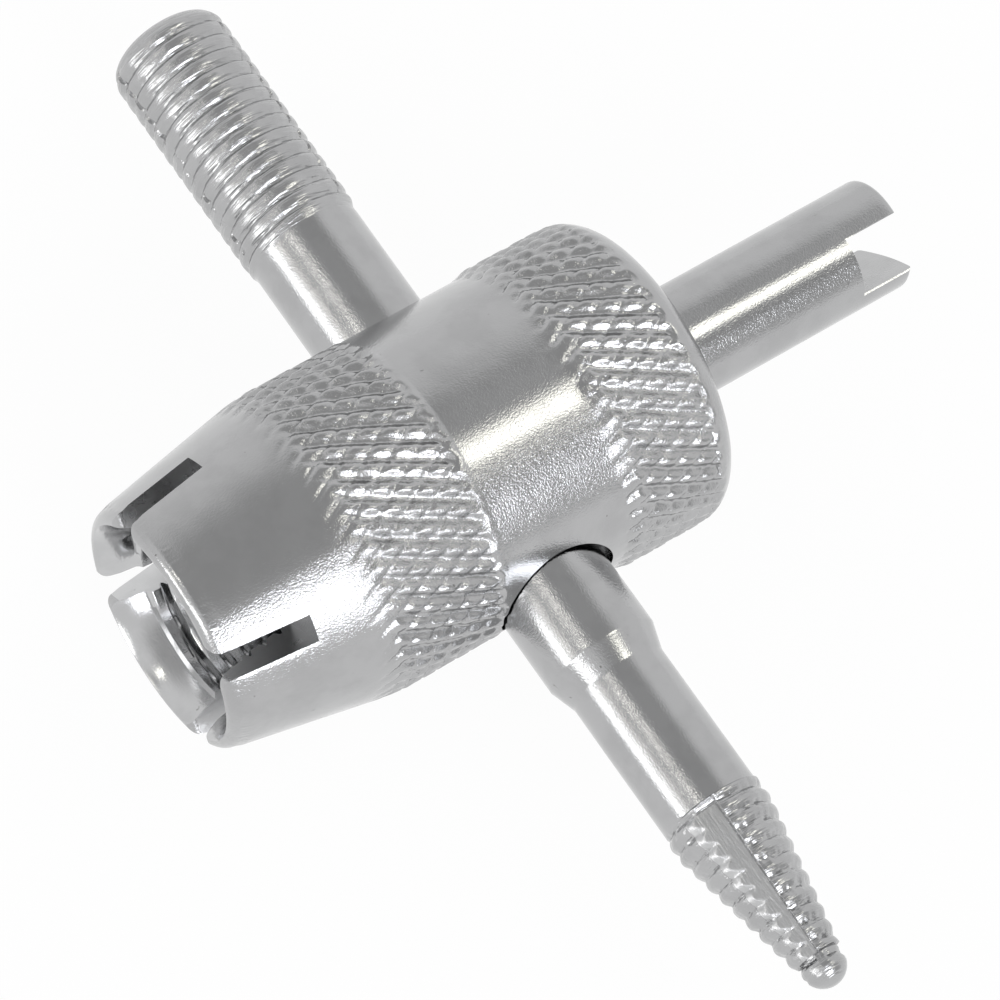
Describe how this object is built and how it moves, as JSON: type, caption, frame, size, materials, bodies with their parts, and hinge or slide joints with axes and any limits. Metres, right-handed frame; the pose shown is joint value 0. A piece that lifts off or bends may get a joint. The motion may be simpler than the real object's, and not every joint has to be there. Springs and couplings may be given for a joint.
{
  "type": "tyre valve tool",
  "caption": "Four-way tyre valve tool: knurled barrel with a slotted thread die and a forked core key, crossed by a pin with a tap and a tapered extractor.",
  "frame": {"origin": "where the barrel's axis crosses the pin's axis, in the middle of the waist", "axes": "+X along the barrel towards the forked core key, +Y along the pin towards the tap, +Z square to both"},
  "size_m": [0.0359, 0.0499, 0.014],
  "materials": {
    "barrel_steel": "bright zinc plate over turned and knurled steel",
    "key_steel": "bright zinc plate over turned steel, sawn slot",
    "pin_steel": "bright zinc plate over turned steel, rolled threads"
  },
  "bodies": {
    "root": {"grip_body": "barrel_steel", "core_key": "key_steel", "cross_pin": "pin_steel"}
  },
  "joints": []
}
